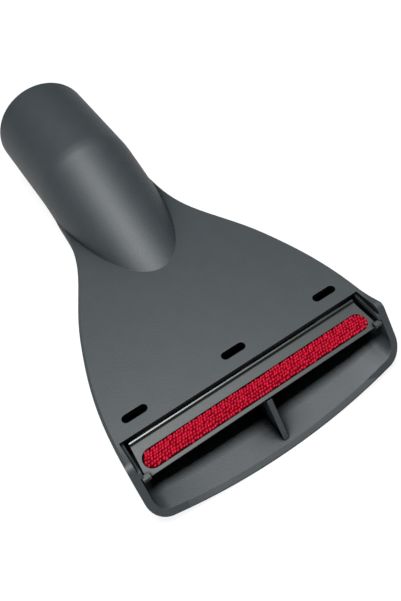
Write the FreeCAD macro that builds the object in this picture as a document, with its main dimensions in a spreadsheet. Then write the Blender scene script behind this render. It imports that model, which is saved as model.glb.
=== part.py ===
import FreeCAD, Part
import Sketcher
import math
import os

# Vacuum upholstery nozzle, drawn plate up.
# The drawing frame has its origin on the top plate, in the middle of its front edge:
# +X across the mouth, +Y back towards the socket, +Z out of the plate.
# Each piece is then placed so that the row's origin is below the middle of its box, on the floor.

os.makedirs("parts", exist_ok=True)
doc = FreeCAD.newDocument("upholstery_nozzle")

# Every driving size, in millimetres and degrees.
SIZES = {
    # duct under the plate
    "beyond": 60.0,
    "depth": 19.2,
    "side_wall": 2.3,
    "top_wall": 2.4,
    "floor_wall": 2.2,
    "trim_height": 4.0,
    "plate_bevel": 0.9,
    # mouth, seen from the side
    "mouth_y": -10.9,
    "mouth_z": -0.8,
    "mouth_angle": 55.5,
    "ear_rise_angle": 9.7,
    "ear_round": 3.0,
    # window between the ears and the snap rail along each ear
    "ear_wall": 1.9,
    "rail_width": 1.0,
    "rail_top": 0.8,
    # three vents through the plate
    "vent_pitch": 35.8,
    "vent_y": 5.8,
    "vent_length": 8.6,
    "vent_width": 2.9,
    # bent tube with a socket for the wand
    "tube_outer": 19.75,
    "tube_inner": 16.4,
    "neck_y": 100.2,
    "neck_angle": 22.8,
    "neck_front": 52.0,
    "kink": 6.0,
    "socket_angle": 2.2,
    "socket_length": 40.6,
    "socket_radius": 17.55,
    "socket_depth": 32.0,
    "heel_y": 103.5,
    "foot_trim": 2.0,
    "foot_trim_inside": 4.0,
    # middle rib
    "rib_thick": 1.8,
    "rib_setback": 0.9,
    "rib_back_y": 16.0,
    "rib_foot_sink": 0.6,
    "rib_seat_back_y": -1.8,
    "rib_nose_z": -4.85,
    "rib_seat_y": -9.6,
    # clip-in bar that carries the textile
    "bar_back_y": -0.8,
    "bar_back_z": -1.5,
    "bar_lip_width": 0.55,
    "bar_step_run": 0.35,
    "bar_step_z": -2.4,
    "bar_crease_y": -2.8,
    "bar_crease_z": -2.7,
    "bar_front_y": -12.3,
    "bar_front_z": -3.8,
    "bar_nose_y": -12.1,
    "bar_nose_z": -4.5,
    "bar_under_y": -9.0,
    "bar_under_z": -7.0,
    "bar_heel_y": -1.6,
    "bar_gap_front": 1.4,
    "bar_gap_back": 2.3,
    "lug_gap": 0.3,
    "lug_sink": 0.6,
    "lug_back_y": -11.2,
    "lug_front_y": -12.8,
    "lug_drop": 0.25,
    "lug_thick": 1.6,
    "seat_lap": 0.4,
    "seat_front_y": -8.4,
    "seat_back_y": -2.4,
    "seat_thick": 1.8,
    # textile strip and its recess
    "recess_margin": 0.7,
    "recess_half_width": 3.1,
    "recess_y": -7.9,
    "recess_floor_z": -4.9,
    "strip_gap": 0.3,
    "strip_proud": 0.6,
    "strip_round": 0.5,
    # stations of the duct from the mouth to the heel: position along Y, half width,
    # radius of the lower corners and radius of the gently arched underside
    "station_y_0_": -34.0,
    "station_half_0_": 47.4,
    "station_corner_0_": 7.0,
    "station_arch_0_": 235.0,
    "station_y_1_": -16.5,
    "station_half_1_": 46.9,
    "station_corner_1_": 7.0,
    "station_arch_1_": 235.0,
    "station_y_2_": 1.0,
    "station_half_2_": 46.2,
    "station_corner_2_": 7.0,
    "station_arch_2_": 235.0,
    "station_y_3_": 18.5,
    "station_half_3_": 43.7,
    "station_corner_3_": 7.4,
    "station_arch_3_": 230.0,
    "station_y_4_": 36.0,
    "station_half_4_": 38.75,
    "station_corner_4_": 8.5,
    "station_arch_4_": 205.0,
    "station_y_5_": 53.5,
    "station_half_5_": 31.5,
    "station_corner_5_": 10.2,
    "station_arch_5_": 155.0,
    "station_y_6_": 71.0,
    "station_half_6_": 23.4,
    "station_corner_6_": 12.5,
    "station_arch_6_": 95.0,
    "station_y_7_": 88.5,
    "station_half_7_": 20.3,
    "station_corner_7_": 15.0,
    "station_arch_7_": 48.0,
    "station_y_8_": 106.0,
    "station_half_8_": 17.2,
    "station_corner_8_": 15.6,
    "station_arch_8_": 24.0,
}

# The duct has this many stations. Its hollow has round corners from the mouth back to one of
# them, then flat-cut ones.
STATION_COUNT = 9
ROUND_CORNERS_END = 2

sheet = doc.addObject("Spreadsheet::Sheet", "sizes")
for row, (alias, value) in enumerate(SIZES.items(), start=1):
    sheet.set(f"A{row}", alias)
    sheet.set(f"B{row}", str(value))
    sheet.setAlias(f"B{row}", alias)
doc.recompute()

# Positions that several shapes share, as expressions of the sheet.
MOUTH_SLOPE = "tan(sizes.mouth_angle)"
EAR_SLOPE = "tan(sizes.ear_rise_angle)"
SHOULDER_Y = f"({MOUTH_SLOPE} * sizes.mouth_y - sizes.mouth_z) / ({MOUTH_SLOPE} + {EAR_SLOPE})"
SHOULDER_Z = f"-{EAR_SLOPE} * ({SHOULDER_Y})"
EAR_RUN = "sizes.ear_round * tan((sizes.ear_rise_angle + sizes.mouth_angle) / 2)"
LIP_Y = f"sizes.mouth_y - (sizes.depth + sizes.mouth_z) / {MOUTH_SLOPE}"
START_Y = "sizes.neck_y - sizes.neck_front * cos(sizes.neck_angle)"
START_Z = "-sizes.neck_front * sin(sizes.neck_angle)"
KINK_Y = "sizes.neck_y + sizes.kink * cos(sizes.neck_angle)"
KINK_Z = "sizes.kink * sin(sizes.neck_angle)"
END_Y = f"{KINK_Y} + sizes.socket_length * cos(sizes.socket_angle)"
END_Z = f"{KINK_Z} + sizes.socket_length * sin(sizes.socket_angle)"
FLOOR_Z = "-(sizes.depth - sizes.floor_wall)"

# Half lengths across the mouth: each follows from the half width of the duct at the plate's front
# edge and from the wall or the clearance that lies between.
EAR_INSIDE = "(sizes.station_half_2_ - sizes.ear_wall)"
RAIL_INSIDE = f"({EAR_INSIDE} - sizes.rail_width)"
BAR_HALF_FRONT = f"({EAR_INSIDE} - sizes.bar_gap_front)"
BAR_HALF_BACK = f"({EAR_INSIDE} - sizes.bar_gap_back)"
LUG_REACH = f"({EAR_INSIDE} - sizes.lug_gap)"
LUG_ROOT = f"({BAR_HALF_BACK} - sizes.lug_sink)"
SEAT_INSIDE = f"({BAR_HALF_BACK} - sizes.seat_lap)"
RECESS_HALF_LENGTH = f"({BAR_HALF_BACK} - sizes.recess_margin)"

QUARTER = math.pi / 2
UPWARD = FreeCAD.Vector(0, 0, 1)
HERE = FreeCAD.Vector(0, 0, 0)


def size(alias):
    """A driving size from the sheet."""
    return float(sheet.get(alias))


def value_of(thing, text):
    """The number that an expression gives, for starting shapes."""
    return 0.0 if text == "0" else float(thing.evalExpression(text))


def new_body(name):
    """An empty body for one shape."""
    return doc.addObject("PartDesign::Body", name)


def settle(body, feature):
    """Makes a feature the body's last one, works it out and makes sure that it holds."""
    body.Tip = feature
    doc.recompute()
    if "Invalid" in feature.State or "Error" in feature.State:
        raise ValueError(f"{feature.Name}: {feature.State}")
    if feature.Shape.isNull() or not feature.Shape.isValid():
        raise ValueError(f"{feature.Name}: the shape isn't valid")
    return feature


def plane_of(body, role):
    """One of the body's own origin planes."""
    for feature in body.Origin.OriginFeatures:
        if feature.Role == role:
            return feature
    raise ValueError(role)


def new_sketch(body, name, role):
    """A sketch on one of the body's origin planes."""
    sketch = body.newObject("Sketcher::SketchObject", name)
    sketch.AttachmentSupport = [(plane_of(body, role), "")]
    sketch.MapMode = "FlatFace"
    return sketch


def place_point(sketch, geometry, point, across, up):
    """Ties one point of a sketch to expressions for its two coordinates."""
    for kind, text, axis in (("DistanceX", across, -2), ("DistanceY", up, -1)):
        if text == "0":
            sketch.addConstraint(Sketcher.Constraint("PointOnObject", geometry, point, axis))
            continue
        value = value_of(sketch, text)
        number = sketch.addConstraint(Sketcher.Constraint(kind, -1, 1, geometry, point, value))
        sketch.setExpression(f"Constraints[{number}]", text)


def arc_between(start, end, radius):
    """The shorter anticlockwise arc of a radius from one point to another."""
    chord = end - start
    half = chord.Length / 2
    inward = FreeCAD.Vector(-chord.y, chord.x, 0).normalize()
    centre = start + chord * 0.5 + inward * math.sqrt(radius * radius - half * half)
    circle = Part.Circle(centre, UPWARD, radius)
    return Part.ArcOfCircle(circle, circle.parameter(start), circle.parameter(end))


def outline(sketch, corners, round_side=None, radius="0"):
    """A closed outline through corners given as pairs of expressions.

    Every side is straight, but one may be an anticlockwise arc of the radius.
    """
    first = sketch.GeometryCount
    places = []
    for across, up in corners:
        places.append(FreeCAD.Vector(value_of(sketch, across), value_of(sketch, up), 0))
    count = len(places)
    for number in range(count):
        start = places[number]
        end = places[(number + 1) % count]
        if number == round_side:
            side = arc_between(start, end, value_of(sketch, radius))
        else:
            side = Part.LineSegment(start, end)
        sketch.addGeometry(side, False)
    for number in range(count):
        after = first + (number + 1) % count
        sketch.addConstraint(Sketcher.Constraint("Coincident", first + number, 2, after, 1))
    for number, (across, up) in enumerate(corners):
        place_point(sketch, first + number, 1, across, up)
    if round_side is not None:
        arc = Sketcher.Constraint("Radius", first + round_side, value_of(sketch, radius))
        number = sketch.addConstraint(arc)
        sketch.setExpression(f"Constraints[{number}]", radius)


def stadium(sketch, centre_x, centre_y, half_length, half_width):
    """A long outline with round ends, its measures given as expressions."""
    x = value_of(sketch, centre_x)
    y = value_of(sketch, centre_y)
    radius = value_of(sketch, half_width)
    run = value_of(sketch, half_length) - radius
    right = Part.Circle(FreeCAD.Vector(x + run, y, 0), UPWARD, radius)
    left = Part.Circle(FreeCAD.Vector(x - run, y, 0), UPWARD, radius)
    back_right = FreeCAD.Vector(x + run, y + radius, 0)
    back_left = FreeCAD.Vector(x - run, y + radius, 0)
    front_left = FreeCAD.Vector(x - run, y - radius, 0)
    front_right = FreeCAD.Vector(x + run, y - radius, 0)
    right_end = sketch.addGeometry(Part.ArcOfCircle(right, -QUARTER, QUARTER), False)
    back = sketch.addGeometry(Part.LineSegment(back_right, back_left), False)
    left_end = sketch.addGeometry(Part.ArcOfCircle(left, QUARTER, 3 * QUARTER), False)
    front = sketch.addGeometry(Part.LineSegment(front_left, front_right), False)
    sides = (right_end, back, left_end, front)
    for number, side in enumerate(sides):
        after = sides[(number + 1) % len(sides)]
        sketch.addConstraint(Sketcher.Constraint("Tangent", side, 2, after, 1))
    number = sketch.addConstraint(Sketcher.Constraint("Radius", right_end, radius))
    sketch.setExpression(f"Constraints[{number}]", half_width)
    reach = f"({half_length} - ({half_width}))"
    place_point(sketch, right_end, 3, f"{centre_x} + {reach}", centre_y)
    place_point(sketch, left_end, 3, f"{centre_x} - {reach}", centre_y)


def rectangle(left, right, front, back):
    """The corners of an upright rectangle, as expressions."""
    return ((left, front), (right, front), (right, back), (left, back))


def pad(body, name, sketch, length, symmetric=False):
    """A pad whose length follows an expression."""
    doc.recompute()
    feature = body.newObject("PartDesign::Pad", name)
    feature.Profile = sketch
    feature.SideType = "Symmetric" if symmetric else "One side"
    feature.setExpression("Length", length)
    return settle(body, feature)


def block(body, name, outlines, level, height):
    """A pad of straight-sided outlines seen from above, upwards from a level."""
    sketch = new_sketch(body, f"{name}_outline", "XY_Plane")
    sketch.setExpression("AttachmentOffset.Base.z", level)
    for corners in outlines:
        outline(sketch, corners)
    return pad(body, name, sketch, height)


def pocket_through(body, name, sketch):
    """A pocket through everything, both ways from the sketch plane."""
    doc.recompute()
    feature = body.newObject("PartDesign::Pocket", name)
    feature.Profile = sketch
    feature.SideType = "Two sides"
    feature.Type = "ThroughAll"
    feature.Type2 = "ThroughAll"
    return settle(body, feature)


def loft(body, name, sections, ruled):
    """A loft through sections, smooth or with straight runs from each to the next."""
    doc.recompute()
    feature = body.newObject("PartDesign::AdditiveLoft", name)
    feature.Profile = sections[0]
    feature.Sections = sections[1:]
    feature.Ruled = ruled
    return settle(body, feature)


def bevel_edges(body, name, width, wanted):
    """A chamfer on the edges that a test of their middle point picks."""
    base = body.Tip
    names = []
    for number, edge in enumerate(base.Shape.Edges, start=1):
        if wanted(edge.valueAt((edge.FirstParameter + edge.LastParameter) / 2)):
            names.append(f"Edge{number}")
    feature = body.newObject("PartDesign::Chamfer", name)
    feature.Base = (base, names)
    feature.setExpression("Size", width)
    return settle(body, feature)


def merge(body, name, kind, tool):
    """Joins another body to a body, or takes it away."""
    feature = body.newObject("PartDesign::Boolean", name)
    feature.Type = kind
    feature.setObjects([tool])
    settle(body, feature)
    if len(feature.Shape.Solids) != 1:
        raise ValueError(f"{name}: not one solid")
    return feature


def duct_section(body, name, index, side, floor, top):
    """One closed section of the duct, moved in from the outside by the side and floor walls."""
    sketch = new_sketch(body, name, "XZ_Plane")
    sketch.setExpression("AttachmentOffset.Base.z", f"-sizes.station_y_{index}_")
    half_text = f"sizes.station_half_{index}_ - {side}"
    corner_text = f"sizes.station_corner_{index}_ - {floor}"
    arch_text = f"sizes.station_arch_{index}_ - {floor}"
    depth_text = f"sizes.depth - {floor}"
    half = value_of(sketch, half_text)
    corner = value_of(sketch, corner_text)
    arch = value_of(sketch, arch_text)
    arch_z = arch - value_of(sketch, depth_text)
    up = value_of(sketch, top)
    reach = arch - corner
    lean = math.asin((half - corner) / reach)
    corner_z = arch_z - reach * math.cos(lean)
    right = Part.Circle(FreeCAD.Vector(half - corner, corner_z, 0), UPWARD, corner)
    left = Part.Circle(FreeCAD.Vector(corner - half, corner_z, 0), UPWARD, corner)
    under = Part.Circle(FreeCAD.Vector(0, arch_z, 0), UPWARD, arch)
    bottom = 3 * QUARTER
    top_left = FreeCAD.Vector(-half, up, 0)
    top_right = FreeCAD.Vector(half, up, 0)
    right_foot = FreeCAD.Vector(half, corner_z, 0)
    left_foot = FreeCAD.Vector(-half, corner_z, 0)
    top_line = sketch.addGeometry(Part.LineSegment(top_left, top_right), False)
    right_side = sketch.addGeometry(Part.LineSegment(top_right, right_foot), False)
    right_corner = sketch.addGeometry(Part.ArcOfCircle(right, bottom + lean, 4 * QUARTER), False)
    under_arc = sketch.addGeometry(Part.ArcOfCircle(under, bottom - lean, bottom + lean), False)
    left_corner = sketch.addGeometry(Part.ArcOfCircle(left, 2 * QUARTER, bottom - lean), False)
    left_side = sketch.addGeometry(Part.LineSegment(left_foot, top_left), False)
    sketch.addConstraint(Sketcher.Constraint("Coincident", top_line, 2, right_side, 1))
    sketch.addConstraint(Sketcher.Constraint("Coincident", left_side, 2, top_line, 1))
    sketch.addConstraint(Sketcher.Constraint("Tangent", right_side, 2, right_corner, 2))
    sketch.addConstraint(Sketcher.Constraint("Tangent", right_corner, 1, under_arc, 2))
    sketch.addConstraint(Sketcher.Constraint("Tangent", under_arc, 1, left_corner, 2))
    sketch.addConstraint(Sketcher.Constraint("Tangent", left_corner, 1, left_side, 1))
    sketch.addConstraint(Sketcher.Constraint("Vertical", right_side))
    sketch.addConstraint(Sketcher.Constraint("Vertical", left_side))
    sketch.addConstraint(Sketcher.Constraint("Symmetric", top_line, 1, top_line, 2, -2))
    sketch.addConstraint(Sketcher.Constraint("Equal", right_corner, left_corner))
    sketch.addConstraint(Sketcher.Constraint("PointOnObject", under_arc, 3, -2))
    place_point(sketch, top_line, 2, half_text, top)
    for kind, values, text in (
        ("Radius", (right_corner, corner), corner_text),
        ("Radius", (under_arc, arch), arch_text),
        ("DistanceY", (-1, 1, under_arc, 3, arch_z), f"{arch_text} - ({depth_text})"),
    ):
        number = sketch.addConstraint(Sketcher.Constraint(kind, *values))
        sketch.setExpression(f"Constraints[{number}]", text)
    return sketch


def flat_section(body, name, index, side, floor, top):
    """The same section with each lower corner cut in three flats."""
    sketch = new_sketch(body, name, "XZ_Plane")
    sketch.setExpression("AttachmentOffset.Base.z", f"-sizes.station_y_{index}_")
    half = f"(sizes.station_half_{index}_ - {side})"
    corner = f"(sizes.station_corner_{index}_ - {floor})"
    arch = f"(sizes.station_arch_{index}_ - {floor})"
    lean = f"asin(({half} - {corner}) / ({arch} - {corner}))"
    corner_z = f"({arch} - sizes.depth + {floor} - ({arch} - {corner}) * cos({lean}))"
    turns = ("90", f"(60 deg + {lean} / 3)", f"(30 deg + {lean} * 2 / 3)", lean)
    right = [(half, top)]
    for turn in turns:
        right.append((f"{half} - {corner} + {corner} * sin({turn})", f"{corner_z} - {corner} * cos({turn})"))
    left = [(f"-({across})", up) for across, up in right]
    outline(sketch, left + right[::-1], round_side=len(right) - 1, radius=arch)
    return sketch


def bent_tube(name, radius, trim):
    """A round bar along the bent tube, with its front cut off under the plate."""
    body = new_body(name)
    path = new_sketch(body, f"{name}_path", "YZ_Plane")
    corners = ((START_Y, START_Z), (KINK_Y, KINK_Z), (END_Y, END_Z))
    start, kink, end = [FreeCAD.Vector(value_of(path, along), value_of(path, up), 0)
                        for along, up in corners]
    path.addGeometry(Part.LineSegment(start, kink), False)
    path.addGeometry(Part.LineSegment(kink, end), False)
    path.addConstraint(Sketcher.Constraint("Coincident", 0, 2, 1, 1))
    place_point(path, 0, 1, START_Y, START_Z)
    place_point(path, 0, 2, KINK_Y, KINK_Z)
    place_point(path, 1, 2, END_Y, END_Z)
    ring = new_sketch(body, f"{name}_ring", "XZ_Plane")
    tilt = FreeCAD.Rotation(FreeCAD.Vector(1, 0, 0), size("neck_angle"))
    ring.AttachmentOffset = FreeCAD.Placement(FreeCAD.Vector(0, start.y, -start.x), tilt)
    ring.setExpression("AttachmentOffset.Base.y", START_Z)
    ring.setExpression("AttachmentOffset.Base.z", f"-({START_Y})")
    ring.setExpression("AttachmentOffset.Rotation.Angle", "sizes.neck_angle")
    ring.addGeometry(Part.Circle(HERE, UPWARD, value_of(ring, radius)), False)
    ring.addConstraint(Sketcher.Constraint("Coincident", 0, 3, -1, 1))
    number = ring.addConstraint(Sketcher.Constraint("Radius", 0, value_of(ring, radius)))
    ring.setExpression(f"Constraints[{number}]", radius)
    doc.recompute()
    pipe = body.newObject("PartDesign::AdditivePipe", f"{name}_pipe")
    pipe.Profile = ring
    pipe.Spine = (path, ["Edge1", "Edge2"])
    pipe.Transition = "Right corner"
    settle(body, pipe)
    under = new_sketch(body, f"{name}_under", "YZ_Plane")
    outline(under, (
        ("-sizes.beyond", f"-{trim}"),
        (f"sizes.heel_y - tan(sizes.neck_angle) * (sizes.depth - {trim})", f"-{trim}"),
        ("sizes.heel_y", "-sizes.depth"),
        ("sizes.beyond * 3", "-sizes.depth"),
        ("sizes.beyond * 3", "-sizes.beyond"),
        ("-sizes.beyond", "-sizes.beyond"),
    ))
    pocket_through(body, f"{name}_cut", under)
    return body


# Outside of the duct: cut flat for the plate, rising a little in front of it for the ears.
fan = new_body("fan_outside")
stations = []
for index in range(STATION_COUNT):
    stations.append(duct_section(fan, f"outside_section_{index}", index, "0", "0", "sizes.trim_height"))
loft(fan, "outside_loft", stations, ruled=False)
above = new_sketch(fan, "above_plate", "YZ_Plane")
outline(above, (
    ("sizes.beyond * 3", "0"),
    ("0", "0"),
    ("-sizes.beyond", f"{EAR_SLOPE} * sizes.beyond"),
    ("-sizes.beyond", "sizes.beyond"),
    ("sizes.beyond * 3", "sizes.beyond"),
))
pocket_through(fan, "plate_trim", above)


def on_plate_side(middle):
    """Whether the middle of an edge lies on a long side of the plate or of an ear."""
    narrowest = min(size(f"station_half_{index}_") for index in range(STATION_COUNT))
    return abs(middle.x) > narrowest + size("side_wall") and middle.z > -size("plate_bevel") / 2


bevel_edges(fan, "plate_sides", "sizes.plate_bevel", on_plate_side)

# The slanted mouth, with the shoulder of each ear rounded.
profile = new_sketch(fan, "mouth_profile", "YZ_Plane")
outline(profile, (
    (f"({SHOULDER_Y}) + {EAR_RUN} * cos(sizes.ear_rise_angle)",
     f"{SHOULDER_Z} - {EAR_RUN} * sin(sizes.ear_rise_angle)"),
    (f"({SHOULDER_Y}) + {EAR_RUN} * cos(sizes.ear_rise_angle)", "sizes.beyond"),
    ("-sizes.beyond * 3", "sizes.beyond"),
    ("-sizes.beyond * 3", "-sizes.depth - sizes.beyond"),
    (f"{LIP_Y} - sizes.beyond / {MOUTH_SLOPE}", "-sizes.depth - sizes.beyond"),
    (f"({SHOULDER_Y}) - {EAR_RUN} * cos(sizes.mouth_angle)",
     f"{SHOULDER_Z} - {EAR_RUN} * sin(sizes.mouth_angle)"),
), round_side=5, radius="sizes.ear_round")
pocket_through(fan, "mouth_trim", profile)

tube = bent_tube("tube_outside", "sizes.tube_outer", "sizes.foot_trim")
tube_bore = bent_tube("tube_inside", "sizes.tube_inner", "sizes.foot_trim_inside")

# The hollow is the same duct, moved in by the walls.
WALLS = ("sizes.side_wall", "sizes.floor_wall", "-sizes.top_wall")
hollow = new_body("fan_inside")
stations = []
for index in (0, ROUND_CORNERS_END):
    stations.append(duct_section(hollow, f"inside_section_{index}", index, *WALLS))
loft(hollow, "inside_front", stations, ruled=True)
stations = []
for index in range(ROUND_CORNERS_END, STATION_COUNT):
    stations.append(flat_section(hollow, f"inside_flat_{index}", index, *WALLS))
loft(hollow, "inside_back", stations, ruled=True)

# The socket bore turns about its own axis, from its end in to the stop.
socket = new_body("socket_bore")
bore = new_sketch(socket, "socket_bore_profile", "YZ_Plane")
turn = FreeCAD.Rotation(UPWARD, size("socket_angle"))
bore.AttachmentOffset = FreeCAD.Placement(HERE, turn)
bore.setExpression("AttachmentOffset.Base.x", END_Y)
bore.setExpression("AttachmentOffset.Base.y", END_Z)
bore.setExpression("AttachmentOffset.Rotation.Angle", "sizes.socket_angle")
outline(bore, (
    ("-sizes.socket_depth", "0"),
    ("sizes.trim_height", "0"),
    ("sizes.trim_height", "sizes.socket_radius"),
    ("-sizes.socket_depth", "sizes.socket_radius"),
))
doc.recompute()
turned = socket.newObject("PartDesign::Revolution", "socket_bore_turned")
turned.Profile = bore
turned.ReferenceAxis = (bore, ["H_Axis"])
turned.Angle = 360.0
settle(socket, turned)

# The open window between the ears. Its lower part is narrower, which leaves a rail along each ear.
window = new_body("mouth_window")
block(window, "window_upper",
      [rectangle(f"-{EAR_INSIDE}", EAR_INSIDE, "-sizes.beyond", "0")],
      "-sizes.rail_top", "sizes.beyond")
block(window, "window_lower",
      [rectangle(f"-{RAIL_INSIDE}", RAIL_INSIDE, "-sizes.beyond", "0")],
      "-sizes.trim_height", "sizes.beyond")

# Three vents in a row through the plate.
vents = new_body("vents")
vent = new_sketch(vents, "vent_outline", "XY_Plane")
vent.setExpression("AttachmentOffset.Base.z", "-sizes.trim_height")
stadium(vent, "-sizes.vent_pitch", "sizes.vent_y", "sizes.vent_length / 2", "sizes.vent_width / 2")
first_vent = pad(vents, "vent", vent, "sizes.trim_height * 2")
vent_row = vents.newObject("PartDesign::LinearPattern", "vent_row")
vent_row.Originals = [first_vent]
vent_row.Direction = (vent, ["H_Axis"])
vent_row.setExpression("Length", "sizes.vent_pitch * 2")
vent_row.Occurrences = 3
settle(vents, vent_row)

# The rib that divides the mouth and carries the middle of the bar.
rib = new_body("middle_rib")
rib_side = new_sketch(rib, "rib_side", "YZ_Plane")
rib_shift = "sizes.mouth_y + sizes.rib_setback / sin(sizes.mouth_angle)"
rib_foot_z = f"{FLOOR_Z} - sizes.rib_foot_sink"
outline(rib_side, (
    (f"{rib_shift} + ({rib_foot_z} - sizes.mouth_z) / {MOUTH_SLOPE}", rib_foot_z),
    (f"{rib_shift} + (sizes.rib_nose_z - sizes.mouth_z) / {MOUTH_SLOPE}", "sizes.rib_nose_z"),
    ("sizes.rib_seat_y", "sizes.bar_under_z"),
    ("sizes.rib_seat_back_y", "sizes.bar_under_z"),
    ("sizes.rib_back_y", rib_foot_z),
))
pad(rib, "rib", rib_side, "sizes.rib_thick", symmetric=True)

# Two seats on the side walls carry the ends of the bar.
seats = new_body("bar_seats")
seat_root = f"({EAR_INSIDE} + sizes.side_wall / 2)"
block(seats, "seats",
      [rectangle(SEAT_INSIDE, seat_root, "sizes.seat_front_y", "sizes.seat_back_y"),
       rectangle(f"-{seat_root}", f"-{SEAT_INSIDE}", "sizes.seat_front_y", "sizes.seat_back_y")],
      "sizes.bar_under_z - sizes.seat_thick", "sizes.seat_thick")

# The moulding: the rib and the seats are left standing in the hollow, then everything is opened.
merge(hollow, "around_rib", "Cut", rib)
merge(hollow, "around_seats", "Cut", seats)
merge(fan, "with_tube", "Fuse", tube)
merge(fan, "without_duct", "Cut", hollow)
merge(fan, "without_tube_bore", "Cut", tube_bore)
merge(fan, "without_socket", "Cut", socket)
merge(fan, "without_window", "Cut", window)
merge(fan, "without_vents", "Cut", vents)

# The bar that carries the textile: its side outline with a low lip along the back, flared ends,
# two lugs and a recess.
bar = new_body("bar")
bar_side = new_sketch(bar, "bar_side", "YZ_Plane")
outline(bar_side, (
    ("sizes.bar_back_y", "sizes.bar_back_z"),
    ("sizes.bar_back_y - sizes.bar_lip_width", "sizes.bar_back_z"),
    ("sizes.bar_back_y - sizes.bar_lip_width - sizes.bar_step_run", "sizes.bar_step_z"),
    ("sizes.bar_crease_y", "sizes.bar_crease_z"),
    ("sizes.bar_front_y", "sizes.bar_front_z"),
    ("sizes.bar_nose_y", "sizes.bar_nose_z"),
    ("sizes.bar_under_y", "sizes.bar_under_z"),
    ("sizes.bar_heel_y", "sizes.bar_under_z"),
))
pad(bar, "bar_blank", bar_side, f"{BAR_HALF_FRONT} * 2", symmetric=True)
ends = new_sketch(bar, "bar_ends", "XY_Plane")
flare = f"({BAR_HALF_FRONT} - {BAR_HALF_BACK}) / (sizes.bar_back_y - sizes.bar_front_y)"
back_half = f"{BAR_HALF_BACK} - {flare} * sizes.beyond"
front_half = f"{BAR_HALF_FRONT} + {flare} * sizes.beyond"
back_y = "sizes.bar_back_y + sizes.beyond"
front_y = "sizes.bar_front_y - sizes.beyond"
outline(ends, ((back_half, back_y), (front_half, front_y),
               ("sizes.beyond", front_y), ("sizes.beyond", back_y)))
outline(ends, ((f"-({back_half})", back_y), (f"-({front_half})", front_y),
               ("-sizes.beyond", front_y), ("-sizes.beyond", back_y)))
pocket_through(bar, "bar_end_cut", ends)
block(bar, "lugs",
      [rectangle(LUG_ROOT, LUG_REACH, "sizes.lug_front_y", "sizes.lug_back_y"),
       rectangle(f"-{LUG_REACH}", f"-{LUG_ROOT}", "sizes.lug_front_y", "sizes.lug_back_y")],
      "-sizes.top_wall - sizes.lug_drop - sizes.lug_thick", "sizes.lug_thick")
recess = new_sketch(bar, "recess_outline", "XY_Plane")
recess.setExpression("AttachmentOffset.Base.z", "sizes.recess_floor_z")
stadium(recess, "0", "sizes.recess_y", RECESS_HALF_LENGTH, "sizes.recess_half_width")
doc.recompute()
recess_cut = bar.newObject("PartDesign::Pocket", "recess")
recess_cut.Profile = recess
recess_cut.Type = "ThroughAll"
recess_cut.Reversed = True
settle(bar, recess_cut)

# The textile strip, proud of the bar's face, with its upper edge rounded over.
strip = new_body("strip")
strip_outline = new_sketch(strip, "strip_outline", "XY_Plane")
strip_outline.setExpression("AttachmentOffset.Base.z", "sizes.recess_floor_z")
stadium(strip_outline, "0", "sizes.recess_y", f"{RECESS_HALF_LENGTH} - sizes.strip_gap",
        "sizes.recess_half_width - sizes.strip_gap")
pad(strip, "strip_blank", strip_outline, "sizes.trim_height")
strip_top = new_sketch(strip, "strip_top", "YZ_Plane")
face_slope = "(sizes.bar_crease_z - sizes.bar_front_z) / (sizes.bar_crease_y - sizes.bar_front_y)"
outline(strip_top, (
    ("sizes.bar_crease_y + sizes.trim_height",
     f"sizes.bar_crease_z + {face_slope} * sizes.trim_height + sizes.strip_proud"),
    ("sizes.bar_crease_y + sizes.trim_height", "sizes.beyond"),
    ("sizes.bar_front_y - sizes.trim_height", "sizes.beyond"),
    ("sizes.bar_front_y - sizes.trim_height",
     f"sizes.bar_front_z - {face_slope} * sizes.trim_height + sizes.strip_proud"),
))
sloped = pocket_through(strip, "strip_slope", strip_top)
top_face = max(range(len(sloped.Shape.Faces)), key=lambda number: sloped.Shape.Faces[number].CenterOfMass.z)
strip_edge = strip.newObject("PartDesign::Fillet", "strip_edge")
strip_edge.Base = (sloped, [f"Face{top_face + 1}"])
strip_edge.setExpression("Radius", "sizes.strip_round")
settle(strip, strip_edge)

# The row's frame: the middle of the box, on the floor.
end_y = value_of(sheet, f"{END_Y} + sizes.tube_outer * sin(sizes.socket_angle)")
lip_y = value_of(sheet, LIP_Y)
base = FreeCAD.Placement(FreeCAD.Vector(0, -(lip_y + end_y) / 2, size("depth")), FreeCAD.Rotation())
PIECES = (("nozzle_housing", fan), ("strip_holder", bar), ("lint_strip", strip))
for label, piece in PIECES:
    piece.Label = label
    piece.Placement = base
doc.recompute()
for thing in doc.Objects:
    if "Invalid" in thing.State or "Error" in thing.State:
        raise ValueError(f"{thing.Name}: {thing.State}")
for label, piece in PIECES:
    if piece.Shape.isNull() or not piece.Shape.isValid() or len(piece.Shape.Solids) != 1:
        raise ValueError(f"{label}: not one valid solid")
    piece.Shape.exportStep(f"parts/{label}.step")
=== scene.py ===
import math

import bmesh
import bpy
from mathutils import Matrix, Vector


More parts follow.
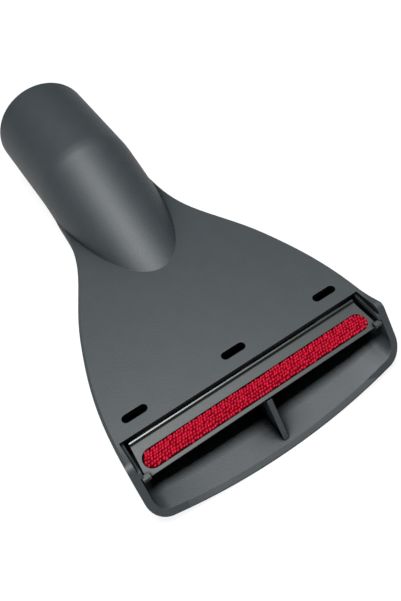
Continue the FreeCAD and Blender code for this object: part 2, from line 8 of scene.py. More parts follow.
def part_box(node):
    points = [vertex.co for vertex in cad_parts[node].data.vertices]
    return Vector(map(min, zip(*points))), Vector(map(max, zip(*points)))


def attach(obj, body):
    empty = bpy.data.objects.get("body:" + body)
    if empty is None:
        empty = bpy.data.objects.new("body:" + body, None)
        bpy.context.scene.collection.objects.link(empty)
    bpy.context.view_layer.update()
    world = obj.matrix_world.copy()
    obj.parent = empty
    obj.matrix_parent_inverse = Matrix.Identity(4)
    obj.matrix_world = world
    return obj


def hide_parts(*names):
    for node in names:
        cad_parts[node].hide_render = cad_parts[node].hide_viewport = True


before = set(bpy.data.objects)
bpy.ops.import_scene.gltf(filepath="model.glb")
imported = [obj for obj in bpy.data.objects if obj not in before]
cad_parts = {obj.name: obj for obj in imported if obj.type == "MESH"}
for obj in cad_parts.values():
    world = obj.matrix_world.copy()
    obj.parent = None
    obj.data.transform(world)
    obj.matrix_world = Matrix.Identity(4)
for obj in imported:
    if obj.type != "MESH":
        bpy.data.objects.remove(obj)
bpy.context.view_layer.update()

# Upholstery nozzle of a vacuum cleaner, lying plate up: a moulded housing with a bent push-on
# neck, a clip-in bar across its mouth, and a red knitted lint strip let into the bar.
# Sizes are in metres, worked out from real millimetres. The mouth faces -Y and the plate +Z.

MM = 0.001

# The camera looks down on the nozzle from the front left: its place, and its right and up directions.
CAMERA_AT = Vector((-0.0500, -0.1546, 0.1892))
CAMERA_RIGHT = Vector((0.83091, -0.54117, -0.12932))
CAMERA_UP = Vector((0.49984, 0.62388, 0.60078))
CAMERA_LENS = 39.0

# The lint strip fills the bar's recess: its face tilts with the bar's, and the stitches stand out of it.
STRIP_FACE_TILT = math.radians(6.6)
STRIP_EDGE_ROUND = 0.9 * MM
STRIP_CROWN = 0.35 * MM
STRIP_EDGE_STEPS = 5
STRIP_END_POINTS = 15
STRIP_INNER_RINGS = (1.3 * MM, 1.8 * MM, 2.3 * MM)
STITCH_STAND = 0.3 * MM
YARN_THICKNESS = 0.76 * MM
STITCH_SPACING = 0.98 * MM
STITCH_ROW_SPACING = 0.92 * MM
STITCH_WANDER = (0.2 * MM, 0.17 * MM)
STITCH_TURN = (math.radians(30), math.radians(62))
STITCH_PLUMPNESS = (0.86, 1.22)
STITCH_ARCH_START = math.radians(-18)
STITCH_ARCH_SWEEP = math.radians(216)
STITCH_ARCH_HEIGHT = 0.95
STITCH_ARCH_STEPS = 8
YARN_SIDES = 7
STITCH_SEED = 7
ROW_COUNT_START = 1000.25
STITCH_DROP_FROM = 20 * MM
STITCH_DROP_REACH = 60 * MM

# The plastic: the mould's grain, and the slight shades that the melt left as it flowed.
GRAIN_SIZE = 0.45 * MM
GRAIN_SHARE = 0.55
GRAIN_DULLNESS_RANGE = 0.06
FLOW_MARK_SIZE = 6 * MM
FLOW_MARK_SHARE = 0.45
SHADE_OFFSET = -0.02
POLISH_GAIN = 0.20
PLASTIC_IOR = 1.53
PLASTIC_GLOSS = 0.5
CORNER_SAMPLES = 8

# The yarn: bundles of fibres, and patches that took more or less dye.
FIBRE_BUNDLE_SIZE = 0.12 * MM
FIBRE_RELIEF = 0.05 * MM
FIBRE_SHARE = 0.5
DYE_PATCH_SIZE = 1.4 * MM
DYE_SHARE = 0.5
YARN_IOR = 1.5

# Painted shade in corners and hollows: openness runs from 0 in a deep corner to 1 in open air. The
# plastic is painted black at one value of it, and has its full colour and gloss from the other.
PAINTED_SHADE_REACH = 13 * MM
PAINTED_SHADE_COLOUR = "#050607"
PAINTED_SHADE_DARKEST_AT = 0.62
PAINTED_SHADE_NONE_AT = 0.93
PAINTED_SHADE_LEAST_LIGHT = 0.02

# The housing: how round its edges are, and below which distance or angle two points, two planes and
# two faces of a smooth surface count as one.
EDGE_ROUND = 0.3 * MM
SAME_POINT = 0.002 * MM
SAME_PLANE = math.radians(0.05)
HOUSING_CREASE = math.radians(13)

# The mouth's rim is cut at a slope; the lip's inner edge moves down, and less so towards the corners.
MOUTH_TILT = math.radians(55.5)
LIP_SHIFT = Vector((0, 0.4, -1.25)) * MM
LIP_BELOW = 6.5 * MM
RIM_ALIGNMENT = 0.9995
FLOOR_UPWARD = 0.8
LIP_CORNER_START = 33 * MM
LIP_CORNER_END = 41 * MM

# The ears stand outside this distance from the middle. The shoulder of each runs between two points,
# as seen from the side.
EAR_INSIDE = 44.2 * MM
EAR_SHOULDER_BACK = Vector((0, -69.13, 20.46)) * MM
EAR_SHOULDER_FRONT = Vector((0, -72.11, 19.20)) * MM
EAR_HOLLOW = 0.7 * MM

# The bend's crease lies in a plane across the tube's two axes.
BEND_AT = Vector((0, 43.97, 21.53)) * MM
BEND_FACING = Vector((0, 0.97621, 0.21684))
BEND_RADIUS = 19 * MM
BEND_ROUND = 2.5 * MM
BEND_STEPS = 4
BEND_PLANE_SLACK = 0.2 * MM

# The bar's back edge has a narrow lip that tips towards the front.
BAR_LIP_ABOVE = 17.4 * MM
BAR_LIP_RISE = 0.17 * MM
BAR_LIP_WIDTH = 0.6 * MM
BAR_LIP_UPWARD = 0.5
BAR_EDGE_ROUND = 0.12 * MM
BAR_EDGE_STEPS = 3
BAR_EDGE_ANGLE = math.radians(25)
BAR_SAME_PLANE = math.radians(1)
BAR_CREASE = math.radians(60)

# The camera sees from one centimetre away to well past the edge of the paper.
NEAREST_SEEN = 0.01
FARTHEST_SEEN = 20


def linear(code):
    """An sRGB colour code such as '#8a9094' as linear red, green, blue and alpha."""
    channels = [int(code[place:place + 2], 16) / 255 for place in (1, 3, 5)]
    return [c / 12.92 if c <= 0.04045 else ((c + 0.055) / 1.055) ** 2.4 for c in channels] + [1.0]


def add_node(tree, kind, settings=None, inputs=None):
    """Adds a node, sets its properties, and fills each named or numbered input with a value or a link."""
    node = tree.nodes.new(kind)
    for name, value in (settings or {}).items():
        setattr(node, name, value)
    for name, value in (inputs or {}).items():
        if isinstance(value, bpy.types.NodeSocket):
            tree.links.new(value, node.inputs[name])
        else:
            node.inputs[name].default_value = value
    return node


def new_material(name):
    """An empty node material and its tree."""
    material = bpy.data.materials.new(name)
    material.use_nodes = True
    material.node_tree.nodes.clear()
    return material, material.node_tree


# Materials


def moulded_abs(name, dark, light, roughness, grain_depth, rounding):
    """Injection-moulded ABS with a spark-eroded grain: matte, finely speckled, soft broad highlights."""
    material, tree = new_material(name)
    place = add_node(tree, "ShaderNodeTexCoord").outputs["Object"]
    # The grain is about 0.2 mm; it is drawn at 0.45 mm so that it shows at this size.
    grain = add_node(tree, "ShaderNodeTexNoise", inputs={
        "Vector": place, "Scale": 1 / GRAIN_SIZE, "Detail": 3.0, "Roughness": 0.6})
    # Slight differences in shade, over some millimetres, come from the flow of the melt.
    cloud = add_node(tree, "ShaderNodeTexNoise", inputs={
        "Vector": place, "Scale": 1 / FLOW_MARK_SIZE, "Detail": 2.0, "Roughness": 0.5})
    blend = add_node(tree, "ShaderNodeMath", {"operation": "MULTIPLY_ADD"}, {
        0: grain.outputs["Fac"], 1: GRAIN_SHARE, 2: SHADE_OFFSET})
    blend = add_node(tree, "ShaderNodeMath", {"operation": "MULTIPLY_ADD"}, {
        0: cloud.outputs["Fac"], 1: FLOW_MARK_SHARE, 2: blend.outputs[0]})
    shade = add_node(tree, "ShaderNodeMix", {"data_type": "RGBA"}, {
        "Factor": blend.outputs[0], 6: linear(dark), 7: linear(light)})
    dull = add_node(tree, "ShaderNodeMapRange", inputs={
        "Value": grain.outputs["Fac"], "To Min": roughness - GRAIN_DULLNESS_RANGE,
        "To Max": roughness + GRAIN_DULLNESS_RANGE})
    # Edges that rub against another piece are polished.
    rubbed = add_node(tree, "ShaderNodeAttribute", {"attribute_name": "polish"})
    dull = add_node(tree, "ShaderNodeMath", {"operation": "MULTIPLY_ADD"}, {
        0: rubbed.outputs["Fac"], 1: -POLISH_GAIN, 2: dull.outputs["Result"]})
    edge = add_node(tree, "ShaderNodeBevel", {"samples": CORNER_SAMPLES}, {"Radius": rounding})
    bump = add_node(tree, "ShaderNodeBump", inputs={
        "Height": grain.outputs["Fac"], "Distance": grain_depth, "Strength": 1.0,
        "Normal": edge.outputs["Normal"]})
    # Painted shade: inner corners are painted dark and dull, as the walls on both sides of them take their
    # light.
    painted_shade_ao = add_node(tree, "ShaderNodeAmbientOcclusion", {
        "samples": CORNER_SAMPLES, "only_local": True}, {
        "Color": shade.outputs[2], "Distance": PAINTED_SHADE_REACH})
    unshaded_share = add_node(tree, "ShaderNodeMapRange", inputs={
        "Value": painted_shade_ao.outputs["AO"], "From Min": PAINTED_SHADE_DARKEST_AT, "From Max": PAINTED_SHADE_NONE_AT,
        "To Min": PAINTED_SHADE_LEAST_LIGHT, "To Max": 1.0})
    shade_painted_colour = add_node(tree, "ShaderNodeMix", {"data_type": "RGBA"}, {
        "Factor": unshaded_share.outputs["Result"], 6: linear(PAINTED_SHADE_COLOUR), 7: shade.outputs[2]})
    gloss = add_node(tree, "ShaderNodeMath", {"operation": "MULTIPLY"}, {
        0: unshaded_share.outputs["Result"], 1: PLASTIC_GLOSS})
    shader = add_node(tree, "ShaderNodeBsdfPrincipled", inputs={
        "Base Color": shade_painted_colour.outputs[2], "Roughness": dull.outputs[0],
        "Specular IOR Level": gloss.outputs[0], "IOR": PLASTIC_IOR, "Normal": bump.outputs["Normal"]})
    add_node(tree, "ShaderNodeOutputMaterial", inputs={"Surface": shader.outputs[0]})
    return material


def knitted_yarn(name, deep, bright, roughness, gloss):
    """Dyed polyester yarn: rough with fibres, with a faint sheen and slight differences in the dye."""
    material, tree = new_material(name)
    place = add_node(tree, "ShaderNodeTexCoord").outputs["Object"]
    # Single fibres are about 0.03 mm; bundles four fibres wide are drawn.
    fibre = add_node(tree, "ShaderNodeTexNoise", inputs={
        "Vector": place, "Scale": 1 / FIBRE_BUNDLE_SIZE, "Detail": 2.0, "Roughness": 0.7})
    dye = add_node(tree, "ShaderNodeTexNoise", inputs={
        "Vector": place, "Scale": 1 / DYE_PATCH_SIZE, "Detail": 1.0})
    blend = add_node(tree, "ShaderNodeMath", {"operation": "MULTIPLY_ADD"}, {
        0: fibre.outputs["Fac"], 1: FIBRE_SHARE, 2: 0.0})
    blend = add_node(tree, "ShaderNodeMath", {"operation": "MULTIPLY_ADD"}, {
        0: dye.outputs["Fac"], 1: DYE_SHARE, 2: blend.outputs[0]})
    shade = add_node(tree, "ShaderNodeMix", {"data_type": "RGBA"}, {
        "Factor": blend.outputs[0], 6: linear(deep), 7: linear(bright)})
    bump = add_node(tree, "ShaderNodeBump", inputs={
        "Height": fibre.outputs["Fac"], "Distance": FIBRE_RELIEF, "Strength": 0.8})
    shader = add_node(tree, "ShaderNodeBsdfPrincipled", inputs={
        "Base Color": shade.outputs[2], "Roughness": roughness, "IOR": YARN_IOR,
        "Specular IOR Level": gloss, "Sheen Weight": 0.02, "Sheen Roughness": 0.4,
        "Sheen Tint": linear("#ff9aa8"), "Normal": bump.outputs["Normal"]})
    add_node(tree, "ShaderNodeOutputMaterial", inputs={"Surface": shader.outputs[0]})
    return material


housing_abs = moulded_abs("spark_grained_grey_abs", dark="#1c2225", light="#282f32", roughness=0.60,
                          grain_depth=0.055 * MM, rounding=EDGE_ROUND)
bar_abs = moulded_abs("satin_moulded_grey_abs", dark="#1a2020", light="#242b2a", roughness=0.58,
                      grain_depth=0.012 * MM, rounding=BAR_EDGE_ROUND)
red_yarn = knitted_yarn("red_polyester_yarn", deep="#6e0212", bright="#ae0a2a", roughness=0.38, gloss=0.14)
# The ground's red, deeper and duller than the yarn's, is painted shade for the dark gaps between the
# stitches.
red_ground_painted_shade = knitted_yarn("red_knit_ground_painted_shade", deep="#40010a", bright="#58030f", roughness=0.8, gloss=0.02)


# Moulded pieces


def merged_copy(node, name):
    """A copy of a node with its loose triangles joined into one skin."""
    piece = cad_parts[node].copy()
    piece.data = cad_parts[node].data.copy()
    piece.name = name
    piece.data.name = name
    bpy.context.scene.collection.objects.link(piece)
    mesh = bmesh.new()
    mesh.from_mesh(piece.data)
    bmesh.ops.remove_doubles(mesh, verts=mesh.verts, dist=SAME_POINT)
    mesh.to_mesh(piece.data)
    mesh.free()
    piece.data.attributes.remove(piece.data.attributes["custom_normal"])
    return piece


def bake_modifiers(piece):
    """Turns a piece's modifiers into plain mesh."""
    graph = bpy.context.evaluated_depsgraph_get()
    mesh = bpy.data.meshes.new_from_object(piece.evaluated_get(graph))
    piece.modifiers.clear()
    piece.data = mesh


def soft_shading(piece, crease):
    """Smooth shading that keeps true creases sharp and flat faces flat."""
    piece.data.shade_smooth()
    piece.data.set_sharp_from_angle(angle=crease)
    weighted = piece.modifiers.new("flat faces stay flat", "WEIGHTED_NORMAL")
    weighted.keep_sharp = True
    bake_modifiers(piece)


def finish_piece(piece, node, material):
    """Gives a piece its material and the body that it rides on."""
    piece.data.materials.clear()
    piece.data.materials.append(material)
    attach(piece, "root")
    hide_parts(node)


def thin_lip(mesh):
    """Lowers the inner edge of the mouth's lip, so that the rim lies flatter and the lip is thinner."""
    facing = Vector((0, -math.sin(MOUTH_TILT), math.cos(MOUTH_TILT)))
    for vertex in mesh.verts:
        normals = [face.normal for face in vertex.link_faces]
        in_rim = any(normal.dot(facing) > RIM_ALIGNMENT for normal in normals)
        on_floor = any(normal.z > FLOOR_UPWARD for normal in normals)
        if in_rim and on_floor and vertex.co.z < LIP_BELOW:
            part = (LIP_CORNER_END - abs(vertex.co.x)) / (LIP_CORNER_END - LIP_CORNER_START)
            vertex.co += LIP_SHIFT * min(max(part, 0.0), 1.0)


def round_ears(mesh):
    """Turns the hollow shoulder at the front of each ear into a rounded one, about its chord."""
    chord = EAR_SHOULDER_FRONT - EAR_SHOULDER_BACK
    along = chord.normalized()
    upward = Vector((0, along.z, -along.y))
    for vertex in mesh.verts:
        if abs(vertex.co.x) < EAR_INSIDE:
            continue
        offset = vertex.co - EAR_SHOULDER_BACK
        offset.x = 0
        sunk = offset.dot(upward)
        if 0 < offset.dot(along) < chord.length and -EAR_HOLLOW < sunk < 0:
            vertex.co -= 2 * sunk * upward


def round_bend(mesh):
    """Rounds the bend between the neck and the socket on the outside."""
    bmesh.ops.dissolve_limit(mesh, angle_limit=SAME_PLANE, verts=mesh.verts, edges=mesh.edges)
    chosen = []
    for edge in mesh.edges:
        offset = (edge.verts[0].co + edge.verts[1].co) / 2 - BEND_AT
        ends = [abs((vertex.co - BEND_AT).dot(BEND_FACING)) for vertex in edge.verts]
        if max(ends) < BEND_PLANE_SLACK and offset.length > BEND_RADIUS:
            chosen.append(edge)
    bmesh.ops.bevel(mesh, geom=chosen, offset=BEND_ROUND, offset_type="OFFSET",
                    segments=BEND_STEPS, profile=0.5, affect="EDGES", clamp_overlap=False)


def tip_bar_lip(mesh):
    """Raises the back edge of the bar's lip and marks the lip's top as polished by rubbing."""
    back = max(vertex.co.y for vertex in mesh.verts)
    for vertex in mesh.verts:
        if vertex.co.y > back - EDGE_ROUND and vertex.co.z > BAR_LIP_ABOVE:
            vertex.co.z += BAR_LIP_RISE
    mesh.normal_update()
    polish = mesh.faces.layers.float.new("polish")
    for face in mesh.faces:
        middle = face.calc_center_median()
        on_lip = middle.y > back - BAR_LIP_WIDTH and middle.z > BAR_LIP_ABOVE
        if on_lip and face.normal.z > BAR_LIP_UPWARD:
            face[polish] = 1.0


housing = merged_copy("nozzle_housing", "housing_shell")
shape = bmesh.new()
shape.from_mesh(housing.data)
thin_lip(shape)
round_ears(shape)
round_bend(shape)
shape.to_mesh(housing.data)
shape.free()
soft_shading(housing, HOUSING_CREASE)
finish_piece(housing, "nozzle_housing", housing_abs)

bar = merged_copy("strip_holder", "strip_bar")
flats = bmesh.new()
flats.from_mesh(bar.data)
tip_bar_lip(flats)
bmesh.ops.dissolve_limit(flats, angle_limit=BAR_SAME_PLANE, verts=flats.verts, edges=flats.edges)
flats.to_mesh(bar.data)
flats.free()
rounding = bar.modifiers.new("moulded edges", "BEVEL")
rounding.width = BAR_EDGE_ROUND
rounding.segments = BAR_EDGE_STEPS
rounding.limit_method = "ANGLE"
rounding.angle_limit = BAR_EDGE_ANGLE
soft_shading(bar, BAR_CREASE)
finish_piece(bar, "strip_holder", bar_abs)


# Knitted lint strip


def stadium_ring(half_length, half_width, points):
    """Points of a long outline with round ends, about the origin."""
    ring = []
    run = half_length - half_width
    for number in range(2 * points):
        side = 1 if number < points else -1
        turn = math.pi * ((number % points) / (points - 1) - 0.5)
        along = side * (run + half_width * math.cos(turn))
        across = side * half_width * math.sin(turn)
        ring.append(Vector((along, across, 0)))
    return ring


def crowned_pad(name, low, high):
    """A padded stadium that fills a box, crowned across, with a rounded upper edge and a tilted top."""
    half_length = (high.x - low.x) / 2
    half_width = (high.y - low.y) / 2
    middle = (low + high) / 2
    slope = math.tan(STRIP_FACE_TILT)
    top = high.z - slope * half_width
    mesh = bmesh.new()
    rings = []
    steps = [(0.0, None)]
    for step in range(STRIP_EDGE_STEPS + 1):
        turn = step / STRIP_EDGE_STEPS * math.pi / 2
        inset = STRIP_EDGE_ROUND * (1 - math.cos(turn))
        steps.append((inset, STRIP_EDGE_ROUND * (1 - math.sin(turn))))
    for inset in STRIP_INNER_RINGS:
        steps.append((inset, 0.0))
    for inset, drop in steps:
        ring = []
        for point in stadium_ring(half_length - inset, half_width - inset, STRIP_END_POINTS):
            across = point.y / half_width
            if drop is None:
                z = low.z
            else:
                z = top + slope * point.y - drop - STRIP_CROWN * across * across
            ring.append(mesh.verts.new((middle.x + point.x, middle.y + point.y, z)))
        rings.append(ring)
    for lower, upper in zip(rings, rings[1:]):
        for number in range(len(lower)):
            after = (number + 1) % len(lower)
            mesh.faces.new((lower[number], lower[after], upper[after], upper[number]))
    mesh.faces.new(rings[-1])
    mesh.faces.new(rings[0][::-1])
    data = bpy.data.meshes.new(name)
    mesh.to_mesh(data)
    mesh.free()
    data.shade_smooth()
    piece = bpy.data.objects.new(name, data)
    bpy.context.scene.collection.objects.link(piece)
    return piece


def stitch_tree():
    """A node tree that sets staggered rows of yarn stitches on a surface."""
    tree = bpy.data.node_groups.new("knit_stitches", "GeometryNodeTree")
    ports = tree.interface
    ports.new_socket("Ground", in_out="INPUT", socket_type="NodeSocketGeometry")
    for name in ("Stitch spacing", "Row spacing", "Yarn thickness"):
        ports.new_socket(name, in_out="INPUT", socket_type="NodeSocketFloat")
    ports.new_socket("Seed", in_out="INPUT", socket_type="NodeSocketInt")
    ports.new_socket("Yarn", in_out="INPUT", socket_type="NodeSocketMaterial")
    ports.new_socket("Stitches", in_out="OUTPUT", socket_type="NodeSocketGeometry")
    given = add_node(tree, "NodeGroupInput").outputs
    spacing = given["Stitch spacing"]
    rows = given["Row spacing"]
    thickness = given["Yarn thickness"]

    # A grid over the ground's box, every second row shifted by half a stitch. Rows are counted from
    # far below the first one, so that no row number is negative.
    box = add_node(tree, "GeometryNodeBoundBox", inputs={0: given["Ground"]})
    extent = add_node(tree, "ShaderNodeVectorMath", {"operation": "SUBTRACT"}, {
        0: box.outputs["Max"], 1: box.outputs["Min"]})
    centre = add_node(tree, "ShaderNodeVectorMath", {"operation": "ADD"}, {
        0: box.outputs["Max"], 1: box.outputs["Min"]})
    centre = add_node(tree, "ShaderNodeVectorMath", {"operation": "SCALE"}, {
        0: centre.outputs[0], "Scale": 0.5})
    sides = add_node(tree, "ShaderNodeSeparateXYZ", inputs={0: extent.outputs[0]}).outputs
    across = add_node(tree, "ShaderNodeMath", {"operation": "DIVIDE"}, {0: sides["X"], 1: spacing})
    along = add_node(tree, "ShaderNodeMath", {"operation": "DIVIDE"}, {0: sides["Y"], 1: rows})
    columns = add_node(tree, "ShaderNodeMath", {"operation": "CEIL"}, {0: across.outputs[0]})
    lines = add_node(tree, "ShaderNodeMath", {"operation": "CEIL"}, {0: along.outputs[0]})
    width = add_node(tree, "ShaderNodeMath", {"operation": "MULTIPLY"}, {
        0: columns.outputs[0], 1: spacing})
    length = add_node(tree, "ShaderNodeMath", {"operation": "MULTIPLY"}, {0: lines.outputs[0], 1: rows})
    count_x = add_node(tree, "ShaderNodeMath", {"operation": "ADD"}, {0: columns.outputs[0], 1: 1.0})
    count_y = add_node(tree, "ShaderNodeMath", {"operation": "ADD"}, {0: lines.outputs[0], 1: 1.0})
    grid = add_node(tree, "GeometryNodeMeshGrid", inputs={
        "Size X": width.outputs[0], "Size Y": length.outputs[0],
        "Vertices X": count_x.outputs[0], "Vertices Y": count_y.outputs[0]})
    spot = add_node(tree, "ShaderNodeSeparateXYZ", inputs={
        0: add_node(tree, "GeometryNodeInputPosition").outputs[0]}).outputs
    row = add_node(tree, "ShaderNodeMath", {"operation": "DIVIDE"}, {0: spot["Y"], 1: rows})
    row = add_node(tree, "ShaderNodeMath", {"operation": "ADD"}, {0: row.outputs[0], 1: ROW_COUNT_START})
    odd = add_node(tree, "ShaderNodeMath", {"operation": "MODULO"}, {0: row.outputs[0], 1: 2.0})
    odd = add_node(tree, "ShaderNodeMath", {"operation": "FLOOR"}, {0: odd.outputs[0]})
    shift = add_node(tree, "ShaderNodeMath", {"operation": "MULTIPLY"}, {0: odd.outputs[0], 1: 0.5})
    shift = add_node(tree, "ShaderNodeMath", {"operation": "MULTIPLY"}, {0: shift.outputs[0], 1: spacing})
    wander = add_node(tree, "FunctionNodeRandomValue", {"data_type": "FLOAT_VECTOR"}, {
        0: (-STITCH_WANDER[0], -STITCH_WANDER[1], 0.0), 1: (STITCH_WANDER[0], STITCH_WANDER[1], 0.0),
        "Seed": given["Seed"]})
    shifted = add_node(tree, "ShaderNodeCombineXYZ", inputs={"X": shift.outputs[0]})
    shifted = add_node(tree, "ShaderNodeVectorMath", {"operation": "ADD"}, {
        0: shifted.outputs[0], 1: wander.outputs[0]})
    shifted = add_node(tree, "ShaderNodeVectorMath", {"operation": "ADD"}, {
        0: shifted.outputs[0], 1: centre.outputs[0]})
    raised = add_node(tree, "ShaderNodeVectorMath", {"operation": "ADD"}, {
        0: shifted.outputs[0], 1: (0.0, 0.0, STITCH_DROP_FROM)})
    hover = add_node(tree, "GeometryNodeSetPosition", inputs={
        "Geometry": grid.outputs["Mesh"], "Offset": raised.outputs[0]})

    # Each spot drops on to the ground, and those that miss it are deleted.
    drop = add_node(tree, "GeometryNodeRaycast", inputs={
        "Target Geometry": given["Ground"], "Ray Direction": (0.0, 0.0, -1.0),
        "Ray Length": STITCH_DROP_REACH})
    hits = add_node(tree, "GeometryNodeStoreNamedAttribute", {"data_type": "FLOAT", "domain": "POINT"}, {
        "Geometry": hover.outputs[0], "Name": "over"})
    facings = add_node(tree, "GeometryNodeStoreNamedAttribute", {
        "data_type": "FLOAT_VECTOR", "domain": "POINT"}, {"Geometry": hits.outputs[0], "Name": "out"})
    tree.links.new(drop.outputs["Hit Normal"], facings.inputs["Value"])
    tree.links.new(drop.outputs["Is Hit"], hits.inputs["Value"])
    landed = add_node(tree, "GeometryNodeSetPosition", inputs={
        "Geometry": facings.outputs[0], "Position": drop.outputs["Hit Position"]})
    over = add_node(tree, "GeometryNodeInputNamedAttribute", {"data_type": "FLOAT"}, {"Name": "over"})
    missed = add_node(tree, "ShaderNodeMath", {"operation": "LESS_THAN"}, {0: over.outputs[0], 1: 0.5})
    kept = add_node(tree, "GeometryNodeDeleteGeometry", {"domain": "POINT"}, {
        "Geometry": landed.outputs[0], "Selection": missed.outputs[0]})

    # One stitch: an arch of yarn with its feet in the ground.
    arch = add_node(tree, "GeometryNodeCurveArc", {"mode": "RADIUS"}, {
        "Resolution": STITCH_ARCH_STEPS, "Start Angle": STITCH_ARCH_START,
        "Sweep Angle": STITCH_ARCH_SWEEP})
    quarter = add_node(tree, "ShaderNodeMath", {"operation": "MULTIPLY"}, {0: spacing, 1: 0.25})
    tree.links.new(quarter.outputs[0], arch.inputs["Radius"])
    upright = add_node(tree, "GeometryNodeTransform", inputs={
        "Geometry": arch.outputs[0], "Rotation": (math.radians(90), 0.0, 0.0),
        "Scale": (1.0, 1.0, STITCH_ARCH_HEIGHT)})
    radius = add_node(tree, "ShaderNodeMath", {"operation": "MULTIPLY"}, {0: thickness, 1: 0.5})
    strand = add_node(tree, "GeometryNodeCurvePrimitiveCircle", {"mode": "RADIUS"}, {
        "Resolution": YARN_SIDES})
    tree.links.new(radius.outputs[0], strand.inputs["Radius"])
    stitch = add_node(tree, "GeometryNodeCurveToMesh", inputs={
        "Curve": upright.outputs[0], "Profile Curve": strand.outputs[0], "Fill Caps": True})

    # Stitches stand square to the ground, each turned slantwise to the strip by its own angle.
    out = add_node(tree, "GeometryNodeInputNamedAttribute", {"data_type": "FLOAT_VECTOR"}, {"Name": "out"})
    stand = add_node(tree, "FunctionNodeAlignRotationToVector", {"axis": "Z"}, {"Vector": out.outputs[0]})
    turn = add_node(tree, "FunctionNodeRandomValue", {"data_type": "FLOAT"}, {
        2: STITCH_TURN[0], 3: STITCH_TURN[1], "Seed": given["Seed"]})
    spun = add_node(tree, "FunctionNodeAxisAngleToRotation", inputs={
        "Axis": (0.0, 0.0, 1.0), "Angle": turn.outputs[1]})
    facing = add_node(tree, "FunctionNodeRotateRotation", {"rotation_space": "LOCAL"}, {
        0: stand.outputs[0], 1: spun.outputs[0]})
    plump = add_node(tree, "FunctionNodeRandomValue", {"data_type": "FLOAT"}, {
        2: STITCH_PLUMPNESS[0], 3: STITCH_PLUMPNESS[1], "Seed": given["Seed"]})
    row_of_stitches = add_node(tree, "GeometryNodeInstanceOnPoints", inputs={
        "Points": kept.outputs[0], "Instance": stitch.outputs[0],
        "Rotation": facing.outputs[0], "Scale": plump.outputs[1]})
    real = add_node(tree, "GeometryNodeRealizeInstances", inputs={0: row_of_stitches.outputs[0]})
    smooth = add_node(tree, "GeometryNodeSetShadeSmooth", inputs={0: real.outputs[0]})
    dyed = add_node(tree, "GeometryNodeSetMaterial", inputs={
        "Geometry": smooth.outputs[0], "Material": given["Yarn"]})
    add_node(tree, "NodeGroupOutput", inputs={0: dyed.outputs[0]})
    return tree


low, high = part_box("lint_strip")
ground = crowned_pad("strip_ground", low, high - Vector((0, 0, STITCH_STAND)))
ground.data.materials.append(red_ground_painted_shade)

stitches = bpy.data.objects.new("strip_stitches", ground.data.copy())
bpy.context.scene.collection.objects.link(stitches)
knit = stitches.modifiers.new("knit", "NODES")
knit.node_group = stitch_tree()
choices = {"Stitch spacing": STITCH_SPACING, "Row spacing": STITCH_ROW_SPACING,
           "Yarn thickness": YARN_THICKNESS, "Seed": STITCH_SEED, "Yarn": red_yarn}
for socket in knit.node_group.interface.items_tree:
    if socket.in_out == "INPUT" and socket.name in choices:
        knit[socket.identifier] = choices[socket.name]
bake_modifiers(stitches)
for piece in (ground, stitches):
    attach(piece, "root")
    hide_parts("lint_strip")


# Studio: a white floor that keeps a little of the shadow, one soft light overhead and a white room.

PAPER_TOOTH_SIZE = 2 * MM
PAPER_TOOTH_DEPTH = 0.02 * MM
PAPER_GLOW = 0.9
FLOOR_REACH = 3.0
FLOOR_GAP = 0.2 * MM
ROOM_FILL = 0.045
LIGHT_OVER = Vector((-0.05, -0.08, 0))
LIGHT_HEIGHT = 0.50
LIGHT_SIZE = 0.14
LIGHT_POWER = 5.3


def white_floor():
    """White seamless paper: near white where it is seen, a little darker where the nozzle shades it."""
    material, tree = new_material("white_seamless_paper")
    place = add_node(tree, "ShaderNodeTexCoord").outputs["Object"]
    tooth = add_node(tree, "ShaderNodeTexNoise", inputs={
        "Vector": place, "Scale": 1 / PAPER_TOOTH_SIZE, "Detail": 2.0})
    bump = add_node(tree, "ShaderNodeBump", inputs={
        "Height": tooth.outputs["Fac"], "Distance": PAPER_TOOTH_DEPTH, "Strength": 0.3})
    paper = add_node(tree, "ShaderNodeBsdfDiffuse", inputs={
        "Color": linear("#f4f4f4"), "Normal": bump.outputs["Normal"]})
    glow = add_node(tree, "ShaderNodeEmission", inputs={"Color": linear("#ffffff"), "Strength": 1.0})
    ray = add_node(tree, "ShaderNodeLightPath")
    direct = add_node(tree, "ShaderNodeMath", {"operation": "MAXIMUM"}, {
        0: ray.outputs["Is Camera Ray"], 1: ray.outputs["Is Glossy Ray"]})
    seen = add_node(tree, "ShaderNodeMath", {"operation": "MULTIPLY"}, {
        0: direct.outputs[0], 1: PAPER_GLOW})
    mixed = add_node(tree, "ShaderNodeMixShader", inputs={
        0: seen.outputs[0], 1: paper.outputs[0], 2: glow.outputs[0]})
    add_node(tree, "ShaderNodeOutputMaterial", inputs={"Surface": mixed.outputs[0]})
    return material


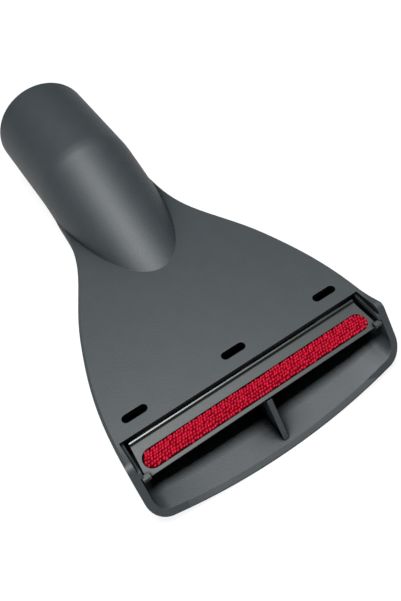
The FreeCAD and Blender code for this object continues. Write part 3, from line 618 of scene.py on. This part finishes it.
floor_mesh = bpy.data.meshes.new("floor")
floor_mesh.from_pydata([(-FLOOR_REACH, -FLOOR_REACH, 0), (FLOOR_REACH, -FLOOR_REACH, 0),
                        (FLOOR_REACH, FLOOR_REACH, 0), (-FLOOR_REACH, FLOOR_REACH, 0)], [], [(0, 1, 2, 3)])
floor_mesh.materials.append(white_floor())
floor = bpy.data.objects.new("floor", floor_mesh)
floor.location.z = -FLOOR_GAP
bpy.context.scene.collection.objects.link(floor)

world = bpy.data.worlds.new("pale_room")
bpy.context.scene.world = world
world.use_nodes = True
world.node_tree.nodes.clear()
# White to the camera, and a faint fill to the nozzle.
looked_at = add_node(world.node_tree, "ShaderNodeLightPath").outputs["Is Camera Ray"]
brightness = add_node(world.node_tree, "ShaderNodeMath", {"operation": "MULTIPLY_ADD"}, {
    0: looked_at, 1: 1.0 - ROOM_FILL, 2: ROOM_FILL})
room = add_node(world.node_tree, "ShaderNodeBackground", inputs={
    "Color": linear("#ffffff"), "Strength": brightness.outputs[0]})
add_node(world.node_tree, "ShaderNodeOutputWorld", inputs={"Surface": room.outputs[0]})


def soft_light(name, place, target, size, power):
    """A square softbox that faces a point."""
    lamp = bpy.data.lights.new(name, "AREA")
    lamp.shape = "SQUARE"
    lamp.size = size
    lamp.energy = power
    holder = bpy.data.objects.new(name, lamp)
    holder.location = place
    holder.rotation_euler = (target - place).to_track_quat("-Z", "Y").to_euler()
    bpy.context.scene.collection.objects.link(holder)


light_at = LIGHT_OVER + Vector((0, 0, LIGHT_HEIGHT))
soft_light("overhead_softbox", light_at, LIGHT_OVER, LIGHT_SIZE, LIGHT_POWER)

camera = bpy.data.objects.new("camera", bpy.data.cameras.new("camera"))
camera.data.lens = CAMERA_LENS
camera.data.clip_start = NEAREST_SEEN
camera.data.clip_end = FARTHEST_SEEN
right = CAMERA_RIGHT.normalized()
up = (CAMERA_UP - right * CAMERA_UP.dot(right)).normalized()
turned = Matrix((right, up, right.cross(up))).transposed().to_4x4()
camera.matrix_world = Matrix.Translation(CAMERA_AT) @ turned
bpy.context.scene.collection.objects.link(camera)
bpy.context.scene.camera = camera
bpy.context.scene.view_settings.view_transform = "Standard"
